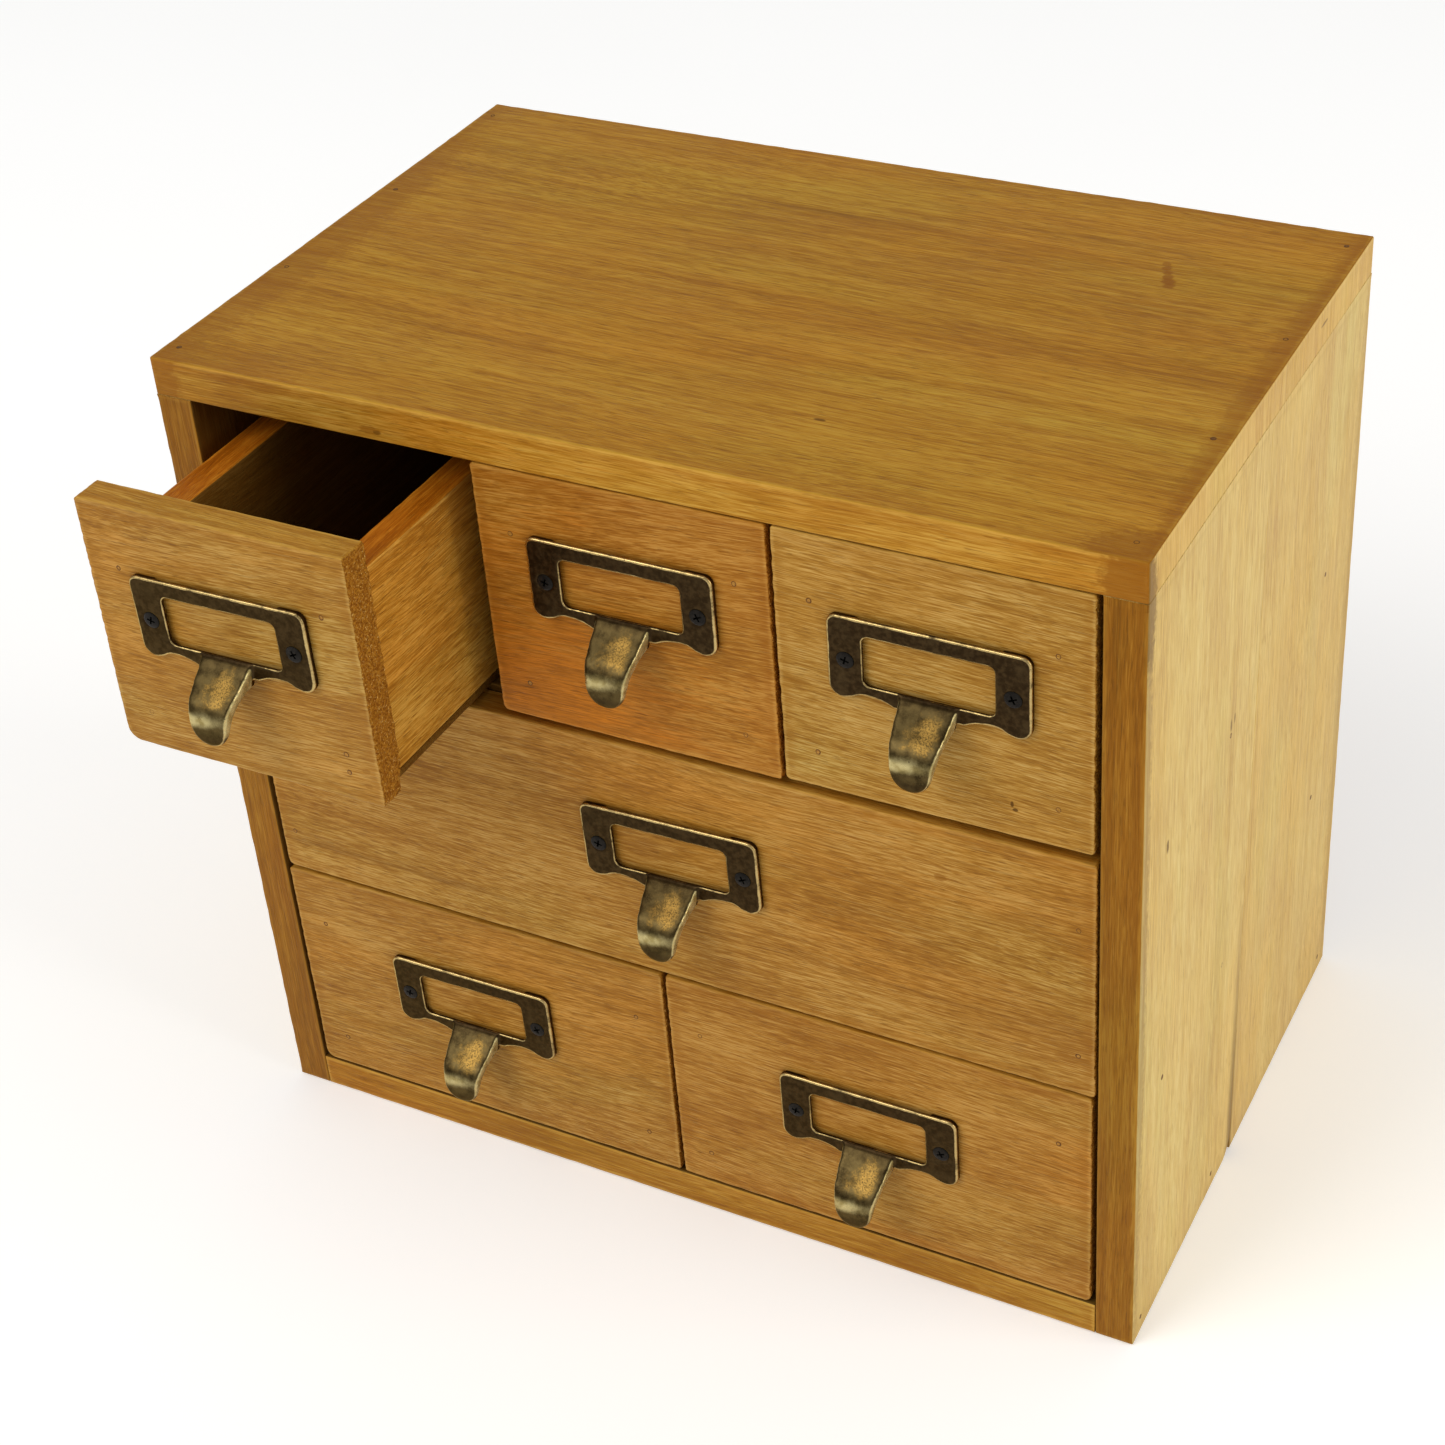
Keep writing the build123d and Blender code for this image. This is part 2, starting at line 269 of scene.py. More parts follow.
    # wear: rubbed arrises are paler, with a thin darker line of stain behind them
    ragged = g.noise(g.scale(gc, (90.0, 260.0, 260.0)), 1.0, 3.0, 0.6)
    edge = g.math("ADD", ed, g.math("MULTIPLY", g.math("SUBTRACT", ragged, 0.5), 2.6))
    rub = g.remap(edge, 0.15, 1.5, 1.0, 0.0)
    if coords == "gc":
        rub = g.math("MULTIPLY", rub, g.remap(eg, 0.05, 0.4, 1.0, 0.0))
    col = g.mix(g.math("MULTIPLY", rub, wear), col, tuple(min(1.0, 1.12 * l) for l in light))
    ring = g.math("MULTIPLY", g.remap(edge, 0.9, 1.7), g.remap(edge, 2.0, 5.0, 1.0, 0.0))
    col = g.mix(g.math("MULTIPLY", ring, rim), col, tuple(0.72 * a for a in orange))
    # marks: (x, y, z, rx, ry, rz, strength, kind) in millimetres, in the row frame; kind 0 dark, 1 orange stain
    pos = g.rest()
    rag2 = g.noise(g.scale(gc, (500.0, 700.0, 700.0)), 1.0, 2.0, 0.6)
    for x, y, z, rx, ry, rz, strength, kind in marks:
        d = g.vec("SUBTRACT", pos, (x * MM, y * MM, z * MM))
        d = g.vec("LENGTH", g.scale(d, (1000.0 / rx, 1000.0 / ry, 1000.0 / rz)))
        d = g.math("ADD", d, g.math("MULTIPLY", g.math("SUBTRACT", rag2, 0.5), 0.9))
        m = g.remap(d, 0.65, 1.1, strength, 0.0)
        col = g.mix(m, col, tuple(0.45 * a for a in dark) if kind == 0 else tuple(0.62 * a for a in orange))
    # painted shade along the side's seam, and the board's own tone
    col = g.mix(dk, col, tuple(0.42 * d for d in dark))
    lean = g.math("SUBTRACT", warm, 0.6)
    gain = g.combine(tone, g.math("MULTIPLY", tone, g.math("MULTIPLY_ADD", lean, -0.26, 1.0)),
                     g.math("MULTIPLY", tone, g.math("MULTIPLY_ADD", lean, -0.62, 1.0)))
    g.put(g.bsdf.inputs["Base Color"], g.vec("MULTIPLY", col, gain))
    r = g.math("MULTIPLY_ADD", g.math("SUBTRACT", strands, 0.5), 0.30, rough)
    r = g.math("MULTIPLY_ADD", g.math("SUBTRACT", cloud, 0.5), 0.22, r)
    if coords == "gc":
        r = g.math("ADD", r, g.math("MULTIPLY", g.remap(eg, 0.5, 0.9), 0.22), clamp=True)
    g.put(g.bsdf.inputs["Roughness"], r)
    g.bsdf.inputs["Specular IOR Level"].default_value = specular
    g.bsdf.inputs["Specular Tint"].default_value = (1.0, 0.72, 0.30, 1.0)
    g.bsdf.inputs["Coat Weight"].default_value = coat
    g.bsdf.inputs["Coat Tint"].default_value = (1.0, 0.93, 0.8, 1.0)
    g.bsdf.inputs["Coat Roughness"].default_value = 0.36
    g.bsdf.inputs["Coat IOR"].default_value = 1.45
    h = g.math("MULTIPLY_ADD", strands, 0.9, g.math("MULTIPLY", fibres, 0.8))
    h = g.math("MULTIPLY_ADD", lines, 0.8, h)
    h = g.math("SUBTRACT", h, g.math("MULTIPLY", pores, 0.8))
    if coords == "gc":
        h = g.math("ADD", h, g.math("MULTIPLY", g.remap(eg, 0.5, 0.9), g.math("MULTIPLY", grit, 1.6)))
    g.put(g.bsdf.inputs["Normal"], g.bump(h, bump, 0.00022))
    return g.mat


# ------------------------------------------------------------------ wooden boards
def rows(length, radii, step):
    """Grid rows from 0 to length, dense within each radius of the ends."""
    near = {0.0}
    for r in radii:
        for a in (33.75, 22.5, 11.25, 0.0):
            near.add(r * (1 - math.tan(math.radians(a))))
    big = max(radii)
    near |= {big + 0.7 * MM, big + 2.0 * MM}
    near = sorted(x for x in near if x < length * 0.46)
    out = [near[0]]
    for x in near[1:]:
        if x - out[-1] > 0.09 * MM:
            out.append(x)
    inner = length - 2 * out[-1]
    n = max(1, int(round(inner / step)))
    mid = [out[-1] + inner * i / n for i in range(1, n)]
    return np.array(out + mid + [length - x for x in reversed(out)])


def board(name, body, material, axes, outward, grain, front=(0.8,) * 4, back=(0.3,) * 4, corners=(0.8,) * 4,
          step=(3.0, 3.0), tone=(1.0, 0.5, 0.5), seed=1, ragged=(0.0, 0.0), flat=0.06, skew=0.0, warp=None, shade_paint=None,
          box=None, node=None, second=(), tstep=None, quiet=None):
    """A board with every arris rounded by its own radius, slightly uneven faces and edges, and grain coordinates.
    axes = (a, b, thickness) as world axes. front and back are the arris radii (mm) at a low, a high, b low, b high;
    corners are the in-plane radii at (a low, b low), (a high, b low), (a low, b high), (a high, b high).
    It stays inside the box of the CAD node that it stands for."""
    node = node or name
    lo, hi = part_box(node) if box is None else (Vector(box[0]), Vector(box[1]))
    ia, ib, it = axes
    La, Lb, Lt = (hi[i] - lo[i] for i in axes)
    front, back, corners = (np.array(v) * MM for v in (front, back, corners))
    rr = sorted(set(list(front) + list(corners)))
    ga = rows(La, [max(front[0], front[1])] + [c for c in set(corners)], step[0] * MM)
    gb = rows(Lb, [max(front[2], front[3])] + [c for c in set(corners)], step[1] * MM)
    gt = rows(Lt, [max(front), max(back)], (tstep or max(2.0, Lt / MM / 5)) * MM)
    na, nb, nt = len(ga), len(gb), len(gt)
    I, J, K = np.meshgrid(np.arange(na), np.arange(nb), np.arange(nt), indexing="ij")
    shell = (I == 0) | (I == na - 1) | (J == 0) | (J == nb - 1) | (K == 0) | (K == nt - 1)
    index = np.full(shell.shape, -1)
    index[shell] = np.arange(shell.sum())
    A, B, T = ga[I[shell]], gb[J[shell]], gt[K[shell]]

    quads = []

    def sheet(ix):
        a, b, c, d = ix[:-1, :-1], ix[1:, :-1], ix[1:, 1:], ix[:-1, 1:]
        quads.append(np.stack([a, b, c, d], -1).reshape(-1, 4))

    sheet(index[:, :, 0].T)
    sheet(index[:, :, -1])
    sheet(index[0, :, :].T)
    sheet(index[-1, :, :])
    sheet(index[:, 0, :])
    sheet(index[:, -1, :].T)
    quads = np.concatenate(quads)

    left, low = A < La / 2, B < Lb / 2
    da, db = np.minimum(A, La - A), np.minimum(B, Lb - B)
    R = np.where(low, np.where(left, corners[0], corners[1]), np.where(left, corners[2], corners[3]))
    in_corner = (da < R) & (db < R)
    qa, qb = R - da, R - db
    m, h = np.maximum(qa, qb), np.hypot(qa, qb) + 1e-12
    near_a = da <= db
    n_a = np.where(in_corner, qa / h, np.where(near_a, 1.0, 0.0))
    n_b = np.where(in_corner, qb / h, np.where(near_a, 0.0, 1.0))
    s = np.where(in_corner, R - m, np.minimum(da, db))
    edge_point = np.stack([np.where(left, 0, La) * n_a + A * n_b, np.where(low, 0, Lb) * n_b + B * n_a, T * 0], 1)
    wobble = Waves(seed + 11, 12, 60, 330)(edge_point)

    def radius(r):
        ra, rb = np.where(left, r[0], r[1]), np.where(low, r[2], r[3])
        x = ra * n_a**2 + rb * n_b**2
        x = x * np.clip(1 + 0.13 * wobble, 0.6, 1.5)
        away = np.where(near_a, db, da)
        return np.minimum(x, np.where(in_corner, R * 0.98, R + 0.35 * away))

    s2, T2 = s.copy(), T.copy()
    for r, depth, sign in ((radius(front), T, 1), (radius(back), Lt - T, -1)):
        on = (depth < r) & (s < r)
        q0, q1 = r - s, r - depth
        k = np.maximum(q0, q1) / (np.hypot(q0, q1) + 1e-12)
        s2 = np.where(on, r - q0 * k, s2)
        new = r - q1 * k
        T2 = np.where(on, new if sign > 0 else Lt - new, T2)
    da2 = np.where(in_corner, R - n_a * (R - s2), np.where(near_a & (s2 != s), s2, da))
    db2 = np.where(in_corner, R - n_b * (R - s2), np.where(~near_a & (s2 != s), s2, db))
    A2, B2 = np.where(left, da2, La - da2), np.where(low, db2, Lb - db2)

    # uneven faces and edges, always inwards
    P = np.stack([A2, B2, T2], 1)
    uneven = lambda k, lo_, hi_: 0.5 + 0.3 * np.clip(Waves(seed + k, 8, lo_, hi_)(P), -1.6, 1.6)
    f = flat * MM
    T2 = T2 + f * uneven(1, 4, 18) * (1 - T2 / Lt) - f * uneven(2, 4, 18) * (T2 / Lt)
    A2 = A2 + f * uneven(3, 5, 30) * (1 - A2 / La) - f * uneven(4, 5, 30) * (A2 / La)
    B2 = B2 + f * uneven(5, 5, 30) * (1 - B2 / Lb) - f * uneven(6, 5, 30) * (B2 / Lb)
    if ragged[0]:
        rg = ragged[0] * MM * np.clip(0.35 + 0.6 * Waves(seed + 21, 18, 150, 620)(P), 0, 2.2)
        A2 = A2 + rg * np.exp(-A2 / (0.7 * MM)) - rg * np.exp(-(La - A2) / (0.7 * MM))
    if ragged[1]:
        rg = ragged[1] * MM * np.clip(0.35 + 0.6 * Waves(seed + 22, 14, 60, 300)(P), 0, 1.8)
        B2 = B2 + rg * np.exp(-B2 / (0.8 * MM)) - rg * np.exp(-(Lb - B2) / (0.8 * MM))

    co = np.zeros((len(A2), 3))
    co[:, ia] = lo[ia] + A2
    co[:, ib] = lo[ib] + B2
    co[:, it] = hi[it] - T2 if outward > 0 else lo[it] + T2
    dt = np.minimum(T, Lt - T)
    third = np.where(in_corner, 1.0, np.maximum(da, db))
    ed = np.sort(np.stack([s, dt, third], 1), axis=1)[:, 1] / MM
    if warp is not None:
        co = warp(co)
    # outward winding
    tri = co[quads[:, [0, 1, 2]]]
    if np.einsum("ij,ij->i", tri[:, 0], np.cross(tri[:, 1], tri[:, 2])).sum() + \
            np.einsum("ij,ij->i", co[quads[:, 0]], np.cross(co[quads[:, 2]], co[quads[:, 3]])).sum() < 0:
        quads = quads[:, ::-1]
    obj = make_object(name + "_wood", co, quads, body, material)
    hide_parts(node)
    mesh = obj.data
    nrm = np.zeros(len(co) * 3, np.float32)
    mesh.vertex_normals.foreach_get("vector", nrm)
    nrm = nrm.reshape(-1, 3)
    ig = grain
    others = [i for i in (0, 1, 2) if i != ig]
    rng = np.random.default_rng(seed + 500)
    off = rng.uniform(-3, 3, 3)
    a, c, t = co[:, ig], co[:, others[0]], co[:, others[1]]
    wide = 0 if others[0] != it else 1
    if wide == 0:
        a, c = a * math.cos(skew) + c * math.sin(skew), c * math.cos(skew) - a * math.sin(skew)
    else:
        a, t = a * math.cos(skew) + t * math.sin(skew), t * math.cos(skew) - a * math.sin(skew)
    add_attribute(mesh, "gc", np.stack([a + off[0], c + off[1], t + off[2]], 1))
    add_attribute(mesh, "gc2", np.stack([co[:, 2] + off[0], co[:, 1] + off[1], co[:, 0] + off[2]], 1))
    if quiet is not None:
        ed = np.where(quiet(co), 9.0, ed)
    add_attribute(mesh, "ed", ed)
    add_attribute(mesh, "eg", np.abs(nrm[:, ig]))
    if second:
        pn = np.zeros(len(mesh.polygons) * 3, np.float32)
        mesh.polygons.foreach_get("normal", pn)
        pn = pn.reshape(-1, 3)
        which = np.zeros(len(pn), np.int32)
        for k, (mat, direction) in enumerate(second):
            mesh.materials.append(mat)
            which[pn @ np.array(direction, np.float32) > 0.72] = k + 1
        mesh.polygons.foreach_set("material_index", which)
    # dk: painted shade from the board's seam function, zero elsewhere
    add_attribute(mesh, "dk", shade_paint(co) if shade_paint is not None else np.zeros(len(co)))
    add_attribute(mesh, "tn", np.tile(np.array(tone, float), (len(co), 1)))
    return obj


# ------------------------------------------------------------------ materials
DARK = (0.250, 0.090, 0.010)
MID = (0.405, 0.182, 0.025)
LIGHT = (0.560, 0.320, 0.075)
ORANGE = (0.405, 0.138, 0.012)

TOP_MARKS = [
    (99.8, 57.2, 276.0, 1.5, 1.5, 4.0, 0.6, 1),
    (100.8, 54.6, 276.0, 1.7, 1.7, 4.0, 0.75, 1),
    (101.9, 52.0, 276.0, 1.7, 1.7, 4.0, 0.75, 1),
    (102.9, 49.4, 276.0, 1.8, 1.8, 4.0, 0.8, 1),
    (104.0, 46.8, 276.0, 2.3, 2.3, 4.0, 0.85, 1),
    (104.9, 44.4, 276.0, 2.0, 2.0, 4.0, 0.75, 1),
    (146.0, -92.0, 276.0, 16.0, 12.0, 4.0, 0.60, 1),
    (150.0, 0.0, 276.0, 8.0, 110.0, 4.0, 0.42, 1),
    (-149.0, -10.0, 276.0, 16.0, 110.0, 4.0, 0.42, 1),
    (-140.0, -90.0, 276.0, 40.0, 9.0, 4.0, 0.28, 1),
    (45.0, -60.0, 276.0, 2.2, 0.6, 3.0, 0.8, 0),
    (-45.0, 30.0, 276.0, 5.0, 0.6, 3.0, 0.35, 0),
]
RAIL_MARKS = [
    (-76.0, -95.0, 267.0, 3.6, 3.0, 1.5, 0.55, 1),
    (-74.0, -95.0, 266.6, 1.4, 3.0, 0.7, 0.55, 0),
    (146.0, -95.0, 268.0, 10.0, 3.0, 13.0, 0.80, 1),
    (-147.0, -95.0, 268.0, 7.0, 3.0, 13.0, 0.60, 1),
    (40.0, -95.0, 6.0, 3.0, 3.0, 0.8, 0.40, 1),
]
FRONT_MARKS = [
    (31.0, -95.0, 191.6, 1.3, 3.0, 1.0, 0.40, 1),
    (-53.5, -149.5, 194.0, 1.5, 3.0, 1.1, 0.45, 1),
    (-53.5, -149.5, 189.0, 1.5, 3.0, 1.1, 0.45, 1),
    (113.4, -95.0, 192.4, 0.55, 3.0, 1.1, 0.9, 0),
    (114.3, -95.0, 190.8, 0.9, 3.0, 0.6, 0.9, 0),
    (92.0, -95.0, 161.0, 2.0, 3.0, 1.4, 0.65, 1),
    (-65.5, -149.5, 241.7, 1.9, 3.0, 1.2, 0.70, 1),
    (131.0, -95.0, 108.0, 7.0, 3.0, 1.6, 0.45, 1),
    (-20.0, -95.0, 200.0, 9.0, 3.0, 2.0, 0.35, 1),
    (52.0, -95.0, 216.0, 4.0, 3.0, 1.5, 0.40, 1),
    (20.0, -95.0, 60.0, 6.0, 3.0, 1.2, 0.30, 1),
    (-129.0, -95.0, 70.0, 7.0, 3.0, 3.0, 0.35, 1),
]
SIDE_MARKS = [
    (150.0, -95.0, 262.0, 3.0, 6.0, 22.0, 0.75, 0),
    (150.0, -95.5, 150.0, 3.0, 5.4, 190.0, 0.42, 0),
    (150.0, -90.0, 20.0, 3.0, 12.0, 50.0, 0.25, 1),
    (150.0, 95.0, 130.0, 3.0, 9.0, 160.0, 0.30, 1),
    (150.0, -76.0, 175.0, 3.0, 1.1, 2.4, 0.9, 0),
    (150.0, -24.0, 180.0, 3.0, 0.9, 2.2, 0.8, 0),
    (150.0, -21.0, 180.5, 3.0, 0.8, 1.8, 0.7, 0),
    (150.0, 47.0, 271.0, 3.0, 3.0, 0.5, 0.8, 0),
]


def tint(col, k, b=1.0):
    return (col[0] * k, col[1] * k, col[2] * k * b)


MAT_TOP = wood("stained_wood_top", tint(DARK, 0.95, 0.6), tint(MID, 0.98, 0.5), tint(LIGHT, 0.95, 0.55), tint(ORANGE, 1.0, 0.6),
               blotch=0.45, streak=0.5, fine=0.6, fibre=0.85, cloudy=0.2, marks=TOP_MARKS, fibre_len=130.0, wear=0.45,
               rim=0.3)
# painted light: the right side and the top board's right end get a lighter, paler copy of the stained wood, standing
# in for the strong lamp on the right
SIDE_LIT_COLOURS = ((0.46, 0.25, 0.06), (0.635, 0.43, 0.130), (0.74, 0.565, 0.235), (0.61, 0.36, 0.08))
MAT_SIDE_PAINTED_LIT = wood("stained_wood_side_painted_lit", *SIDE_LIT_COLOURS, blotch=0.6, streak=0.30, fibre=0.8, fine=0.45, cloudy=0.3,
                marks=SIDE_MARKS, fibre_len=90.0, wear=0.25, rim=0.25)
# the left side takes colours halfway between the painted-lit right side and the plain stain, so it carries half of
# that painted light
MAT_LEFT = wood("stained_wood_left", *(tuple(0.5 * (a + b) for a, b in zip(x, y)) for x, y in zip(SIDE_LIT_COLOURS, (DARK, MID, LIGHT, ORANGE))),
                blotch=0.5, streak=0.4, fibre=0.6, fine=0.55, cloudy=0.2, fibre_len=90.0, wear=0.25, rim=0.25)
MAT_SIDE_END_PAINTED_LIT = wood("stained_wood_side_end_painted_lit", (0.42, 0.21, 0.04), (0.60, 0.375, 0.095), (0.72, 0.52, 0.19), (0.56, 0.31, 0.055), blotch=0.5, streak=0.3, fibre=0.6, fine=0.5, cloudy=0.2,
                    marks=SIDE_MARKS, fibre_len=90.0, wear=0.25, rim=0.1, coords="gc2")
MAT_POST = wood("stained_wood_dark", tint(DARK, 0.68, 0.42), (0.275, 0.103, 0.0055), (0.42, 0.205, 0.024), (0.29, 0.088, 0.004),
                blotch=0.5, streak=0.55, fibre=0.7, fine=0.65, fibre_len=110.0, wear=0.28, rim=0.2)
MAT_RAIL = wood("stained_wood_rail", tint(DARK, 1.10, 0.6), tint(MID, 1.08, 0.6), tint(LIGHT, 1.12, 0.8), tint(ORANGE, 1.10, 0.6),
                blotch=0.8, streak=0.55, fibre=0.85, fine=0.6, fibre_len=110.0, wear=0.42, rim=0.3,
                marks=RAIL_MARKS, cloudy=0.6)
MAT_MIDDLE = wood("stained_wood_under", DARK, MID, LIGHT, ORANGE, blotch=0.5, streak=0.5, fibre=0.6, fine=0.6, wear=0.2, rim=0.2)
FRONT_MID, FRONT_ORANGE = (0.390, 0.178, 0.0235), (0.415, 0.153, 0.0110)
MAT_FRONT = wood("stained_wood_front", (0.225, 0.080, 0.007), FRONT_MID, (0.565, 0.330, 0.090), FRONT_ORANGE, blotch=0.8,
                 streak=0.50, fine=0.42, fibre=0.95, wear=0.25, rim=0.3, fibre_len=190.0, strong=1.5, cloudy=0.5,
                 marks=FRONT_MARKS)
MAT_FRONT_TOP = wood("stained_wood_front_top", (0.270, 0.100, 0.008), tint(FRONT_MID, 1.15, 0.75), (0.62, 0.37, 0.080), FRONT_ORANGE,
                     blotch=0.8, streak=0.4, fine=0.6, fibre=0.9, wear=0.3, rim=0.3, fibre_len=150.0)
MAT_FRONT_END = wood("stained_wood_front_end", (0.18, 0.062, 0.005), (0.400, 0.165, 0.016), (0.62, 0.36, 0.100), (0.38, 0.118, 0.007),
                     blotch=0.6, streak=0.5, fine=0.8, fibre=0.9, wear=0.1, rim=0.2, fibre_len=600.0, end_dark=1.0, flecks=0.9,
                     bump=1.0)
MAT_BOX = wood("drawer_box_wood", tint(DARK, 0.95, 0.8), tint(MID, 1.0, 0.8), tint(LIGHT, 1.05, 0.9), FRONT_ORANGE, blotch=0.6,
               streak=0.7, fine=0.8, fibre=1.15, wear=0.3, rim=0.2)
MAT_BOX_TOP = wood("drawer_box_top", (0.20, 0.052, 0.002), (0.345, 0.102, 0.004), (0.52, 0.235, 0.022), (0.34, 0.085, 0.003),
                   blotch=0.8, streak=0.6, fine=0.7, fibre=0.9, wear=0.2, rim=0.2)
# painted shade: the inside faces, shelves, dividers and drawer bottoms use the stain at about a third of its
# brightness, for the dark interior
MAT_INNER_SHADED = wood("inner_wood_painted_shade", tint(DARK, 0.34), tint(MID, 0.34), tint(LIGHT, 0.36), tint(ORANGE, 0.4), blotch=0.4, streak=0.5,
                 fine=0.6, fibre=0.6, wear=0.1, rim=0.1)
MAT_PLY_SHADED = wood("ply_painted_shade", tint(DARK, 0.34), tint(MID, 0.36), tint(LIGHT, 0.38), tint(ORANGE, 0.4), blotch=0.4, streak=0.5, fine=0.6,
               fibre=0.6, wear=0.1, fibre_len=60.0, rim=0.1)
MAT_BACK = wood("back_panel_wood", tint(DARK, 0.8), tint(MID, 0.85), tint(LIGHT, 0.85), tint(ORANGE, 0.9), blotch=0.5, streak=0.7,
                fine=0.6, fibre=0.7, wear=0.1, fibre_len=60.0, rim=0.15)


# ------------------------------------------------------------------ carcass
def seam_shift(z):
    return (-3.4 + 8.4 * np.clip(z / 0.264, 0, 1)) * MM


SEAM_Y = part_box("right_side_front_board")[1][1]


def warp_front_side(co):
    """The glue line leans a little, and the foot of this board has lost its back corner."""
    y0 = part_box("right_side_front_board")[0][1]
    k = (co[:, 1] - y0) / (SEAM_Y - y0)
    co = co.copy()
    co[:, 1] += seam_shift(co[:, 2]) * k
    edge = SEAM_Y + seam_shift(0.0)
    y = (co[:, 1] - (edge - 5.6 * MM)) / (5.6 * MM)
    lift = 5.2 * MM * np.clip(y, 0, 1) ** 1.5 * np.clip(1 - co[:, 2] / (16 * MM), 0, 1)
    co[:, 2] += lift
    return co


def warp_back_side(co):
    y1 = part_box("right_side_back_board")[1][1]
    k = (y1 - co[:, 1]) / (y1 - SEAM_Y)
    co = co.copy()
    co[:, 1] += seam_shift(co[:, 2]) * k
    return co


def side_joints(co):
    """Arrises that lie in a joint, where nothing rubs them."""
    d = np.abs(co[:, 1] - (SEAM_Y + seam_shift(co[:, 2])))
    return (co[:, 2] > 0.2615) | (d < 2.0 * MM)


def seam_painted_shade(co):
    """A dark band painted along the lower half of the seam: painted shade of the step where the front board stands
    proud.
    """
    d = (co[:, 1] - (SEAM_Y + seam_shift(co[:, 2]))) / MM
    band = np.exp(-((d + 1.2) / 2.2) ** 2) * smooth01(-co[:, 2], -0.12, -0.01)
    return 0.85 * band * (co[:, 0] > 0.149)


# the top board's right end face takes the painted-lit side wood
board("top_board", "cabinet", MAT_TOP, (0, 1, 2), 1, 0, front=(0.6, 0.6, 0.6, 1.0), back=(0.2, 0.2, 0.25, 0.25),
      corners=(0.7, 0.7, 1.0, 1.0), tone=(1.0, 0.6, 0.75), seed=3, flat=0.08, skew=-0.012,
      second=((MAT_SIDE_END_PAINTED_LIT, (1, 0, 0)), (MAT_RAIL, (0, -1, 0))), quiet=lambda co: co[:, 2] < 0.2665)
board("bottom_board", "cabinet", MAT_MIDDLE, (0, 2, 1), -1, 0, front=(0.2, 0.2, 0.5, 0.6), back=(0.3,) * 4,
      corners=(0.25,) * 4, tone=(0.89, 0.6, 0.5), seed=5, second=((MAT_RAIL, (0, -1, 0)), (MAT_INNER_SHADED, (0, 0, 1))))
board("left_side_board", "cabinet", MAT_LEFT, (1, 2, 0), -1, 2, front=(0.8, 0.8, 0.5, 0.2), back=(0.5, 0.3, 0.3, 0.2),
      corners=(0.5, 0.5, 0.25, 0.25), tone=(1.0, 0.5, 0.5), seed=7,
      second=((MAT_POST, (0, -1, 0)), (MAT_INNER_SHADED, (1, 0, 0))))
board("right_side_front_board", "cabinet", MAT_SIDE_PAINTED_LIT, (1, 2, 0), 1, 2, front=(0.8, 0.3, 0.5, 0.2),
      back=(0.5, 0.2, 0.3, 0.2), corners=(0.5, 0.35, 0.25, 0.25), tone=(0.965, 0.5, 0.4), seed=9, warp=warp_front_side,
      shade_paint=seam_painted_shade, step=(2.0, 3.0), second=((MAT_POST, (0, -1, 0)), (MAT_INNER_SHADED, (-1, 0, 0))), quiet=side_joints)
board("right_side_back_board", "cabinet", MAT_SIDE_PAINTED_LIT, (1, 2, 0), 1, 2, front=(0.3, 0.8, 0.5, 0.2),
      back=(0.2, 0.5, 0.3, 0.2), corners=(0.35, 0.5, 0.25, 0.25), tone=(0.93, 0.6, 0.4), seed=13, warp=warp_back_side,
      shade_paint=seam_painted_shade, step=(2.0, 3.0), quiet=side_joints)
board("back_panel", "cabinet", MAT_BACK, (0, 2, 1), 1, 2, front=(0.25,) * 4, back=(0.2,) * 4, corners=(0.3,) * 4,
      step=(6, 6), tone=(1.0, 0.5, 0.5), seed=15, second=((MAT_INNER_SHADED, (0, -1, 0)),))
for i, n in enumerate(("upper_shelf", "lower_shelf")):
    board(n, "cabinet", MAT_INNER_SHADED, (0, 2, 1), -1, 0, front=(0.3, 0.3, 0.5, 0.5), back=(0.2,) * 4,
          corners=(0.3,) * 4, step=(4, 4), tone=(1.1, 0.5, 0.5), seed=17 + i)
for i, n in enumerate(("upper_left_divider", "upper_right_divider", "lower_divider")):
    board(n, "cabinet", MAT_INNER_SHADED, (0, 2, 1), -1, 2, front=(0.5, 0.5, 0.3, 0.3), back=(0.2,) * 4,
          corners=(0.3,) * 4, step=(4, 4), tone=(1.1, 0.5, 0.5), seed=21 + i)

# ------------------------------------------------------------------ drawers
FRONT_TONE = {
    "top_left": (0.96, 0.50, 0.2),
    "top_middle": (0.94, 1.15, 0.35),
    "top_right": (1.02, 0.25, 0.2),
    "wide": (0.97, 0.60, 0.6),
    "bottom_left": (0.96, 0.55, 0.2),
    "bottom_right": (0.97, 0.75, 0.25),
}


CORNER_BOTTOM = {"top_left": (4.5, 1.2), "top_middle": (2.2, 1.2), "top_right": (1.5, 1.5),
                 "wide": (2.2, 1.2), "bottom_left": (3.2, 1.4), "bottom_right": (1.2, 2.2)}


def saw_cut(co):
    """The right end of the open drawer's front is rough from the saw, and its lower back corner has splintered off."""
    lo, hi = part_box("top_left_front")
    co = co.copy()
    near = np.exp(-(hi[0] - co[:, 0]) / (0.8 * MM))
    grit = np.clip(0.5 + 0.5 * Waves(901, 26, 350, 900)(co), 0, 1.7)
    co[:, 0] -= 0.28 * MM * grit * near
    ragged = np.clip(0.4 + 0.7 * Waves(902, 18, 90, 500)(co * np.array([0.2, 1, 1])), 0, 1.8)
    back = np.clip((co[:, 1] - (hi[1] - 3.5 * MM)) / (3.5 * MM), 0, 1)
    low = np.clip(1 - (co[:, 2] - lo[2]) / (9 * MM), 0, 1)
    co[:, 1] -= back * near * (0.35 * ragged + 3.6 * low**0.8) * MM
    return co


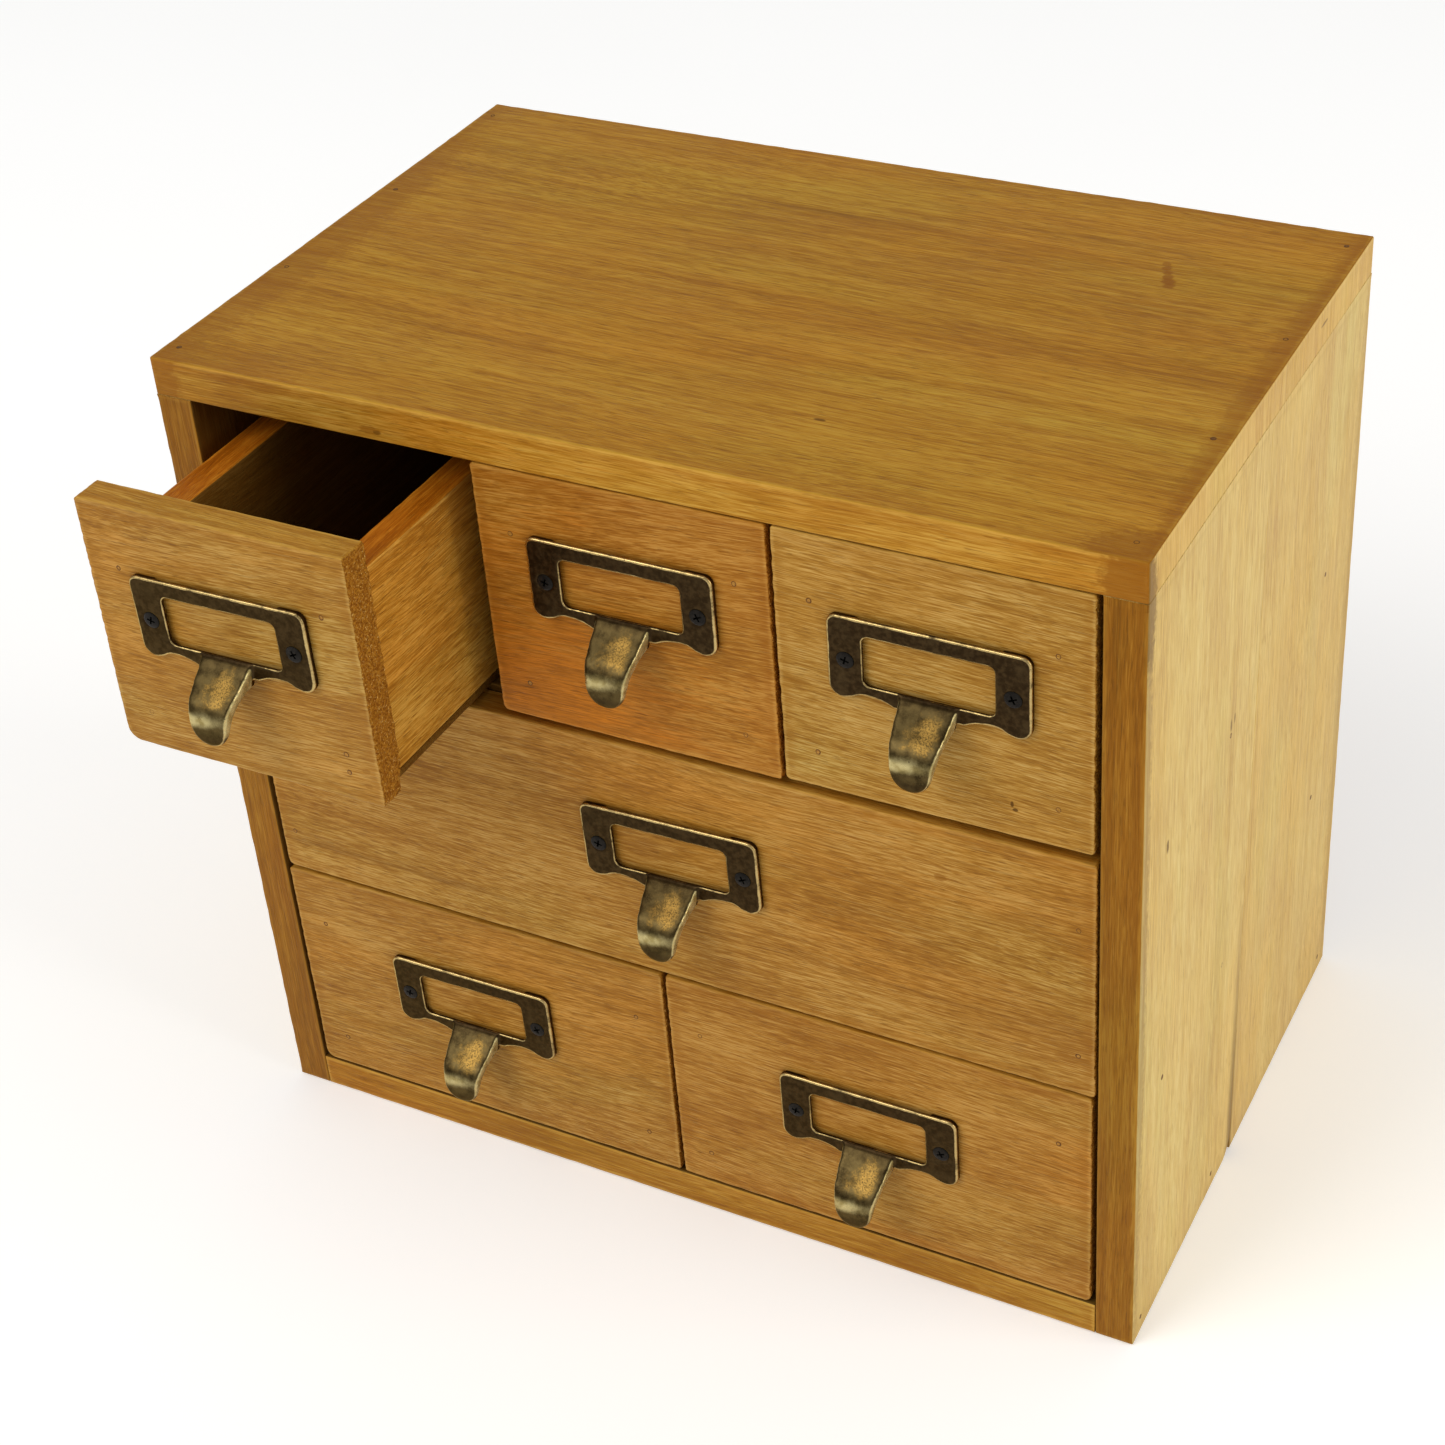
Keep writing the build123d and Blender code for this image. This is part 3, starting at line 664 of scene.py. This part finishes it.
for i, key in enumerate(KEYS):
    body, seed = f"{key}_drawer", 100 + 40 * i
    rough_end = key == "top_left"
    board(f"{key}_front", body, MAT_FRONT, (0, 2, 1), -1, 0,
          front=(0.5, 0.45, 0.55, 0.6) if not rough_end else (0.45, 0.25, 0.5, 0.5), back=(0.3, 0.3, 0.3, 0.4),
          corners=(*CORNER_BOTTOM[key], 1.0, 1.0), step=(2.0, 0.8) if not rough_end else (2.0, 0.55), tone=FRONT_TONE[key],
          seed=seed, ragged=(0.20, 0.07), flat=0.08, skew=(0.03, 0.05, -0.02, 0.012, 0.03, -0.015)[i],
          warp=saw_cut if rough_end else None, tstep=0.6 if rough_end else None,
          second=((MAT_FRONT_END, (1, 0, 0)), (MAT_FRONT_TOP, (0, 0, 1))))
    for j, side in enumerate(("left_side", "right_side")):
        board(f"{key}_{side}", body, MAT_BOX, (1, 2, 0), (-1, 1)[j], 1, front=(0.2, 0.3, 0.4, 0.8),
              back=(0.2, 0.2, 0.3, 0.7), corners=(0.3,) * 4, step=(3, 2.5),
              tone=(1.12, 0.7, 0.5), seed=seed + 3 + j,
              second=((MAT_INNER_SHADED, ((1, 0, 0), (-1, 0, 0))[j]), (MAT_BOX_TOP, (0, 0, 1))))
    board(f"{key}_back", body, MAT_BOX, (0, 2, 1), 1, 0, front=(0.2, 0.2, 0.4, 0.7), back=(0.2, 0.2, 0.2, 0.7),
          corners=(0.3,) * 4, step=(5, 4), tone=(0.95, 0.6, 0.5), seed=seed + 7, second=((MAT_INNER_SHADED, (0, -1, 0)),))
    board(f"{key}_bottom", body, MAT_PLY_SHADED, (0, 1, 2), -1, 0, front=(0.2,) * 4, back=(0.2,) * 4, corners=(0.3,) * 4,
          step=(6, 6), tone=(1.0, 0.5, 0.5), seed=seed + 9)


# ------------------------------------------------------------------ label holders with their pulls
def brass():
    g = Graph("antique_brass")
    pl = g.attribute("pl", True)
    se = g.attribute("se")
    painted_highlight = g.attribute("painted_highlight")
    gp = g.attribute("gp")
    fl = g.attribute("fl")
    olive_and_tip_shade = g.attribute("olive_and_tip_shade")
    big = g.noise(pl, 150.0, 3.0, 0.6)
    mid = g.noise(pl, 620.0, 3.0, 0.6)
    soft = g.noise(pl, 330.0, 2.0, 0.5)
    tiny = g.noise(pl, 2200.0, 3.0, 0.65)
    pits = g.remap(g.noise(pl, 1250.0, 1.0, 0.5), 0.73, 0.80)
    # brown patina over the plate, olive on the handled tongue; the tongue's tip is left darker brown as painted shade
    plate = g.mix(g.remap(mid, 0.35, 0.7), (0.0200, 0.0108, 0.0042), (0.047, 0.0280, 0.0115))
    plate = g.mix(g.remap(big, 0.5, 0.75, 0.0, 0.5), plate, (0.062, 0.040, 0.017))
    olive = g.mix(g.remap(soft, 0.30, 0.70), (0.030, 0.0195, 0.0068), (0.086, 0.059, 0.021))
    olive = g.mix(g.remap(tiny, 0.42, 0.70, 0.0, 0.30), olive, (0.13, 0.092, 0.034))
    col = g.mix(olive_and_tip_shade, plate, olive)
    # golden where the patina has thinned, mottled
    t = g.math("ADD", gp, g.math("MULTIPLY", g.math("SUBTRACT", mid, 0.5), 1.1))
    t = g.remap(t, 0.35, 1.05)
    golden = g.mix(g.remap(tiny, 0.40, 0.66), (0.36, 0.210, 0.048), (0.09, 0.054, 0.016))
    col = g.mix(g.math("MULTIPLY", t, 0.85), col, golden)
    # painted highlight: pale over the bend and down the flanks
    painted_bright = g.math("ADD", painted_highlight, g.math("MULTIPLY", g.math("SUBTRACT", mid, 0.5), 0.35))
    painted_bright = g.math("ADD", painted_bright, g.math("MULTIPLY", g.math("SUBTRACT", tiny, 0.5), 0.25))
    painted_bright = g.math("ADD", painted_bright, g.math("MULTIPLY", g.math("SUBTRACT", big, 0.5), 0.4))
    painted_bright = g.remap(painted_bright, 0.22, 1.05)
    pale = g.mix(g.remap(soft, 0.35, 0.65), (0.34, 0.262, 0.098), (0.56, 0.465, 0.215))
    col = g.mix(g.math("MULTIPLY", painted_bright, 0.95), col, pale)
    # arrises bright: partly rubbed back to bright metal, partly painted edge highlight
    e = g.math("ADD", se, g.math("MULTIPLY", g.math("SUBTRACT", mid, 0.5), 0.45))
    e = g.math("ADD", e, g.math("MULTIPLY", g.math("SUBTRACT", big, 0.5), 0.75))
    e = g.math("ADD", e, g.math("MULTIPLY", olive_and_tip_shade, 0.10))
    e = g.remap(e, 0.10, 0.44, 1.0, 0.0)
    col = g.mix(g.math("MULTIPLY", e, 0.9), col, (0.56, 0.405, 0.165))
    col = g.mix(g.math("MULTIPLY", pits, 0.65), col, (0.03, 0.018, 0.008))
    g.put(g.bsdf.inputs["Base Color"], col)
    metal = g.math("ADD", 0.88, g.math("MULTIPLY", g.math("MAXIMUM", e, painted_bright), 0.12), clamp=True)
    metal = g.math("SUBTRACT", metal, g.math("MULTIPLY", fl, 0.50), clamp=True)
    g.put(g.bsdf.inputs["Metallic"], metal)
    r = g.math("ADD", 0.37, g.math("MULTIPLY", g.math("SUBTRACT", mid, 0.5), 0.25))
    r = g.math("SUBTRACT", r, g.math("MULTIPLY", painted_bright, 0.10))
    r = g.math("SUBTRACT", r, g.math("MULTIPLY", e, 0.10), clamp=True)
    g.put(g.bsdf.inputs["Roughness"], r)
    g.bsdf.inputs["Specular IOR Level"].default_value = 0.2
    g.bsdf.inputs["Specular Tint"].default_value = (1.0, 0.8, 0.5, 1.0)
    h = g.math("MULTIPLY_ADD", mid, 0.4, g.math("MULTIPLY", tiny, 0.2))
    h = g.math("SUBTRACT", h, g.math("MULTIPLY", pits, 0.8))
    g.put(g.bsdf.inputs["Normal"], g.bump(h, 0.22, 0.00010))
    return g.mat


MAT_BRASS = brass()

# centre x, screw line z and lean (degrees) of each pull, as in the CAD; y is the face of its front
PULL_AT = {"top_left": (57.1, 229.7, 0.7), "top_middle": (150.2, 230.7, 0.0), "top_right": (241.1, 227.9, -0.3),
           "wide": (157.3, 142.1, 1.2), "bottom_left": (78.4, 57.1, 0.7), "bottom_right": (216.5, 57.3, 0.2)}


screw_holes = [Vector(((PULL_AT["top_middle"][0] - 150 + k * 23.7) * MM, 0, PULL_AT["top_middle"][1] * MM)) for k in (-1, 1)]


def remeshed(node, voxel):
    """The CAD casting as one even, softly rounded surface."""
    mesh = NODES[node].data.copy()
    bm = bmesh.new()
    bm.from_mesh(mesh)
    bmesh.ops.remove_doubles(bm, verts=bm.verts, dist=1e-6)
    # points along the convex sharp edges, for the bright arrises (rubbed metal and painted edge highlight)
    sharp = []
    for e in bm.edges:
        if len(e.link_faces) == 2 and e.is_convex and e.calc_face_angle(0.0) > math.radians(24):
            a, b = e.verts[0].co, e.verts[1].co
            middle = (a + b) / 2
            if any(math.hypot(middle.x - c.x, middle.z - c.z) < 3.6 * MM for c in screw_holes):
                continue
            n = max(1, int((a - b).length / (0.25 * MM)))
            sharp += [a.lerp(b, i / n) for i in range(n + 1)]
    bm.to_mesh(mesh)
    bm.free()
    obj = bpy.data.objects.new("remesh_source", mesh)
    bpy.context.scene.collection.objects.link(obj)
    m = obj.modifiers.new("voxels", "REMESH")
    m.mode = "VOXEL"
    m.voxel_size = voxel
    m.adaptivity = 0.0
    dg = bpy.context.evaluated_depsgraph_get()
    done = bpy.data.meshes.new_from_object(obj.evaluated_get(dg))
    co = np.zeros(len(done.vertices) * 3, np.float32)
    done.vertices.foreach_get("co", co)
    faces = [tuple(p.vertices) for p in done.polygons]
    edges = np.zeros(len(done.edges) * 2, np.int32)
    done.edges.foreach_get("vertices", edges)
    bpy.data.objects.remove(obj)
    return co.reshape(-1, 3).astype(float), faces, edges.reshape(-1, 2), sharp


def neighbours_mean(values, edges, count):
    out = np.zeros_like(values)
    np.add.at(out, edges[:, 0], values[edges[:, 1]])
    np.add.at(out, edges[:, 1], values[edges[:, 0]])
    return out / (count[:, None] if values.ndim > 1 else count)


pull_co, pull_faces, pull_edges, sharp_points = remeshed("top_middle_label_pull", 0.34 * MM)
tree = KDTree(len(sharp_points))
for i, q in enumerate(sharp_points):
    tree.insert(q, i)
tree.balance()
pull_se = np.array([tree.find(Vector(q))[2] for q in pull_co]) / MM
valence = np.bincount(pull_edges.ravel(), minlength=len(pull_co)).astype(float)
x0, z0, _ = PULL_AT["top_middle"]
pull_co -= np.array([(x0 - 150) * MM, -95 * MM, z0 * MM])
for lam in (0.5, -0.52, 0.5, -0.52, 0.5, 0.4):
    pull_co += lam * (neighbours_mean(pull_co, pull_edges, valence) - pull_co)
# the tongue is rounder than the plate
soft = (smooth01(-pull_co[:, 1] / MM, 1.6, 3.6) * 0.5)[:, None]
for _ in range(24):
    pull_co += soft * (neighbours_mean(pull_co, pull_edges, valence) - pull_co)
# cast surface: faint unevenness
plain = bpy.data.meshes.new("pull_probe")
plain.from_pydata([tuple(v) for v in pull_co], [], pull_faces)
plain.update()
nrm = np.zeros(len(pull_co) * 3, np.float32)
plain.vertex_normals.foreach_get("vector", nrm)
nrm = nrm.reshape(-1, 3).astype(float)
pull_cv = -np.einsum("ij,ij->i", neighbours_mean(pull_co, pull_edges, valence) - pull_co, nrm) / (0.34 * MM)
for _ in range(2):
    pull_cv = 0.5 * pull_cv + 0.5 * neighbours_mean(pull_cv, pull_edges, valence)
z, x, y = pull_co[:, 2] / MM, pull_co[:, 0] / MM, pull_co[:, 1] / MM
on_tongue = smooth01(-y, 2.1, 3.0)
pull_co += nrm * (0.16 * MM * on_tongue)[:, None]
# painted highlights on the tongue: a pale band across the bend and pale flanks, stronger on the right flank
band = np.exp(-((z + 19.4 - 0.10 * x) / 2.3) ** 2) * (1 - 0.45 * smooth01(x, -3.0, 5.0))
flank = smooth01(np.abs(nrm[:, 0]), 0.35, 0.75)
pull_painted_highlight = on_tongue * np.clip(band + 0.75 * flank * (x < 0) * (1 - smooth01(-z, 19.0, 23.0))
                              + 1.15 * flank * (x > 0) * (1 - smooth01(-z, 22.0, 25.5)), 0, 1.25)
pull_fl = on_tongue * flank
pull_gp = on_tongue * np.clip(1.15 * np.exp(-((x - 2.6) / 3.6) ** 2 - ((z + 12.6) / 4.2) ** 2)
                              + 0.5 * np.exp(-((x + 3.0) / 2.5) ** 2 - ((z + 14.0) / 4.0) ** 2), 0, 1.1)
# olive patina on the tongue, less of it near the root; the tip fades back to the darker plate brown as painted shade
# where it turns down
pull_olive_and_tip_shade = on_tongue * (1 - 0.65 * smooth01(-z, 23.2, 25.2)) * (0.55 + 0.45 * smooth01(-z, 6.5, 11.0))
root = (np.abs(x) < 8.6) & (z < -7.1) & (z > -9.5)
pull_se = np.where((y < -1.0) & ~root, pull_se, 9.0)
bpy.data.meshes.remove(plain)

for i, key in enumerate(KEYS):
    x, z, tilt = PULL_AT[key]
    lo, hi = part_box(f"{key}_label_pull")
    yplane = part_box(f"{key}_front")[0][1]
    a = math.radians(-tilt)
    rng = np.random.default_rng(40 + i)
    co = pull_co.copy()
    local = co.copy()
    n = Waves(60 + i, 12, 60, 220)(co)
    co[:, 1] += 0.05 * MM * np.clip(0.5 + 0.4 * n, 0, 1.2) * (co[:, 1] < -1.2 * MM)
    xx = co[:, 0] * math.cos(a) + co[:, 2] * math.sin(a)
    zz = -co[:, 0] * math.sin(a) + co[:, 2] * math.cos(a)
    co[:, 0], co[:, 2] = xx + (x - 150) * MM, zz + z * MM
    co[:, 1] += yplane
    co = np.clip(co, np.array(lo), np.array(hi))
    obj = make_object(f"{key}_label_pull_cast", co, pull_faces, f"{key}_drawer", MAT_BRASS)
    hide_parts(f"{key}_label_pull")
    add_attribute(obj.data, "pl", local + rng.uniform(-2, 2, 3))
    add_attribute(obj.data, "cv", pull_cv)
    add_attribute(obj.data, "se", pull_se)
    add_attribute(obj.data, "olive_and_tip_shade", pull_olive_and_tip_shade)
    add_attribute(obj.data, "gp", pull_gp)
    add_attribute(obj.data, "fl", pull_fl)
    add_attribute(obj.data, "painted_highlight", pull_painted_highlight)


# ------------------------------------------------------------------ screws
def black_steel():
    g = Graph("black_screw")
    p = g.rest()
    a = g.noise(p, 900.0, 3.0, 0.6)
    b = g.noise(p, 3200.0, 2.0, 0.6)
    col = g.mix(g.remap(a, 0.35, 0.7), (0.004, 0.0035, 0.003), (0.012, 0.010, 0.008))
    col = g.mix(g.remap(b, 0.66, 0.78, 0.0, 0.5), col, (0.06, 0.045, 0.03))
    g.put(g.bsdf.inputs["Base Color"], col)
    g.bsdf.inputs["Metallic"].default_value = 0.2
    g.bsdf.inputs["Specular IOR Level"].default_value = 0.12
    g.bsdf.inputs["Specular Tint"].default_value = (1.0, 0.9, 0.8, 1.0)
    g.put(g.bsdf.inputs["Roughness"], g.remap(b, 0.3, 0.7, 0.3, 0.5))
    g.put(g.bsdf.inputs["Normal"], g.bump(a, 0.3, 0.0001))
    return g.mat


MAT_SCREW = black_steel()
for key in KEYS:
    o = NODES[f"{key}_pull_screws"]
    o.data.materials.clear()
    o.data.materials.append(MAT_SCREW)


# ------------------------------------------------------------------ brads: small set heads, filled and stained over
def brad_material(name, fill_a, fill_b):
    g = Graph(name)
    rr = g.attribute("rr")
    p = g.rest()
    a = g.noise(p, 1400.0, 3.0, 0.6)
    b = g.noise(p, 420.0, 2.0, 0.5)
    fill = g.mix(g.remap(a, 0.35, 0.65), fill_a, fill_b)
    rim = g.math("ADD", rr, g.math("MULTIPLY", g.math("SUBTRACT", b, 0.5), 0.7))
    col = g.mix(g.remap(rim, 0.50, 0.75), fill, (0.115, 0.042, 0.007))
    g.bsdf.inputs["Specular IOR Level"].default_value = 0.15
    g.put(g.bsdf.inputs["Base Color"], col)
    g.put(g.bsdf.inputs["Roughness"], g.remap(a, 0.3, 0.7, 0.45, 0.65))
    g.put(g.bsdf.inputs["Normal"], g.bump(a, 0.4, 0.0001))
    return g.mat


MAT_BRAD = brad_material("set_brad", (0.30, 0.130, 0.018), (0.42, 0.205, 0.035))
MAT_BRAD_DARK = brad_material("set_brad_dark", (0.085, 0.034, 0.006), (0.20, 0.085, 0.014))


def islands(obj):
    """The boxes of the separate solids in one CAD node."""
    co = np.array([v.co for v in obj.data.vertices], float)
    key = np.round(co / 2e-6).astype(np.int64)
    _, inv = np.unique(key, axis=0, return_inverse=True)
    inv = inv.ravel()
    parent = np.arange(inv.max() + 1)

    def find(i):
        while parent[i] != i:
            parent[i] = parent[parent[i]]
            i = parent[i]
        return i

    for e in obj.data.edges:
        i, j = find(inv[e.vertices[0]]), find(inv[e.vertices[1]])
        if i != j:
            parent[i] = j
    root = np.array([find(i) for i in inv])
    return [(co[root == r].min(0), co[root == r].max(0)) for r in np.unique(root)]


def brad_heads(name, node, body, material):
    verts, faces, rr = [], [], []
    rng = np.random.default_rng(len(name) * 7 + 3)
    for lo, hi in islands(NODES[node]):
        size = hi - lo
        ax = int(np.argmax(size))
        c = (lo + hi) / 2
        if ax == 1:
            sign, plane = -1, lo[1]
        elif ax == 2:
            sign, plane = 1, hi[2]
        else:
            sign, plane = (-1, lo[0]) if c[0] < 0 else (1, hi[0])
        n = 20
        ring0 = rng.uniform(0.92, 1.08)
        # depth below the CAD face, radius, both mm: a dished head with a soft rim
        profile = [(0.03, 0.0), (0.03, 0.30), (0.02, 0.55), (0.0, 0.72), (0.01, 0.82), (0.06, 0.9), (0.6, 0.9), (0.6, 0.6), (2.5, 0.6), (2.5, 0.0)]
        others = [i for i in (0, 1, 2) if i != ax]
        base = len(verts)
        rings = []
        for d, r in profile:
            if r == 0.0:
                v = c.copy()
                v[ax] = plane - sign * d * MM
                rings.append([len(verts)])
                verts.append(v)
                rr.append(0.0)
                continue
            ring = []
            for k in range(n):
                t = 2 * math.pi * k / n
                v = c.copy()
                v[ax] = plane - sign * d * MM
                v[others[0]] += r * MM * ring0 * 0.92 * math.cos(t)
                v[others[1]] += r * MM * 0.98 * math.sin(t)
                ring.append(len(verts))
                verts.append(v)
                rr.append(r / 0.9)
            rings.append(ring)
        # winding: outward
        e = np.zeros(3)
        e[ax] = 1
        flip = (np.cross(np.eye(3)[others[0]], np.eye(3)[others[1]]) @ e) * sign < 0
        for a, b in zip(rings[:-1], rings[1:]):
            if len(a) == 1:
                fs = [(a[0], b[k], b[(k + 1) % n]) for k in range(n)]
            elif len(b) == 1:
                fs = [(a[k], b[0], a[(k + 1) % n]) for k in range(n)]
            else:
                fs = [(a[k], b[k], b[(k + 1) % n], a[(k + 1) % n]) for k in range(n)]
            faces += [f[::-1] if flip else f for f in fs]
    obj = make_object(name, verts, faces, body, material)
    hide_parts(node)
    add_attribute(obj.data, "rr", rr)
    return obj


brad_heads("carcass_brad_heads", "carcass_brads", "cabinet", MAT_BRAD_DARK)
for key in KEYS:
    brad_heads(f"{key}_front_brad_heads", f"{key}_front_brads", f"{key}_drawer", MAT_BRAD)


# ------------------------------------------------------------------ floor, light, camera
def floor():
    g = Graph("pale_floor")
    n = g.noise(g.rest(), 3.0, 2.0, 0.5)
    g.put(g.bsdf.inputs["Base Color"], g.mix(n, (0.93, 0.93, 0.93), (0.96, 0.96, 0.96)))
    g.bsdf.inputs["Emission Color"].default_value = (1.0, 1.0, 1.0, 1.0)
    g.bsdf.inputs["Emission Strength"].default_value = 0.22
    g.bsdf.inputs["Roughness"].default_value = 0.9
    g.bsdf.inputs["Specular IOR Level"].default_value = 0.1
    mesh = bpy.data.meshes.new("floor")
    s = 6.0
    mesh.from_pydata([(-s, -s, -0.0004), (s, -s, -0.0004), (s, s, -0.0004), (-s, s, -0.0004)], [], [(0, 1, 2, 3)])
    mesh.materials.append(g.mat)
    obj = bpy.data.objects.new("floor", mesh)
    bpy.context.scene.collection.objects.link(obj)


floor()


def area(name, place, target, size, power, colour=(1, 1, 1)):
    data = bpy.data.lights.new(name, "AREA")
    data.shape = "RECTANGLE"
    data.size, data.size_y = size
    data.energy = power
    data.color = colour
    obj = bpy.data.objects.new(name, data)
    bpy.context.scene.collection.objects.link(obj)
    obj.location = place
    d = Vector(target) - Vector(place)
    obj.rotation_mode = "QUATERNION"
    obj.rotation_quaternion = d.to_track_quat("-Z", "Y")
    return obj


area("key", (-1.30, -1.95, 2.30), (0.0, -0.05, 0.12), (1.9, 1.9), 42.5, (1.0, 0.992, 0.955))
area("right", (2.60, 0.10, 1.20), (0.12, 0.0, 0.12), (1.6, 1.6), 30.0, (1.0, 0.985, 0.93))

world = bpy.data.worlds.new("studio")
bpy.context.scene.world = world
world.use_nodes = True
wt = world.node_tree
wt.nodes.clear()
wo = wt.nodes.new("ShaderNodeOutputWorld")
soft = wt.nodes.new("ShaderNodeBackground")
soft.inputs[0].default_value = (1.0, 1.0, 1.0, 1)
soft.inputs[1].default_value = 0.52
seen = wt.nodes.new("ShaderNodeBackground")
seen.inputs[0].default_value = (1.0, 1.0, 1.0, 1)
seen.inputs[1].default_value = 1.0
path = wt.nodes.new("ShaderNodeLightPath")
choose = wt.nodes.new("ShaderNodeMixShader")
wt.links.new(path.outputs["Is Camera Ray"], choose.inputs[0])
wt.links.new(soft.outputs[0], choose.inputs[1])
wt.links.new(seen.outputs[0], choose.inputs[2])
wt.links.new(choose.outputs[0], wo.inputs[0])

scene = bpy.context.scene
scene.view_settings.view_transform = "Standard"
scene.view_settings.look = "None"
scene.view_settings.exposure = 0.0
scene.view_settings.gamma = 1.0

cam = bpy.data.cameras.new("camera")
camera = bpy.data.objects.new("camera", cam)
scene.collection.objects.link(camera)
w = Vector((2.13284236, 0.46483183, -0.3236002))
r = Matrix.Rotation(w.length, 3, w.normalized())      # world to camera: x right, y down, z forward
axes = Matrix((r[0], -r[1], -r[2])).transposed()
camera.matrix_world = Matrix.Translation((0.33105, -0.61287, 0.62824)) @ axes.to_4x4()
cam.sensor_fit = "AUTO"
cam.sensor_width = 36.0
cam.lens = 67.09
cam.shift_x, cam.shift_y = -0.0451, -0.0603
cam.clip_start, cam.clip_end = 0.05, 50.0
scene.camera = camera
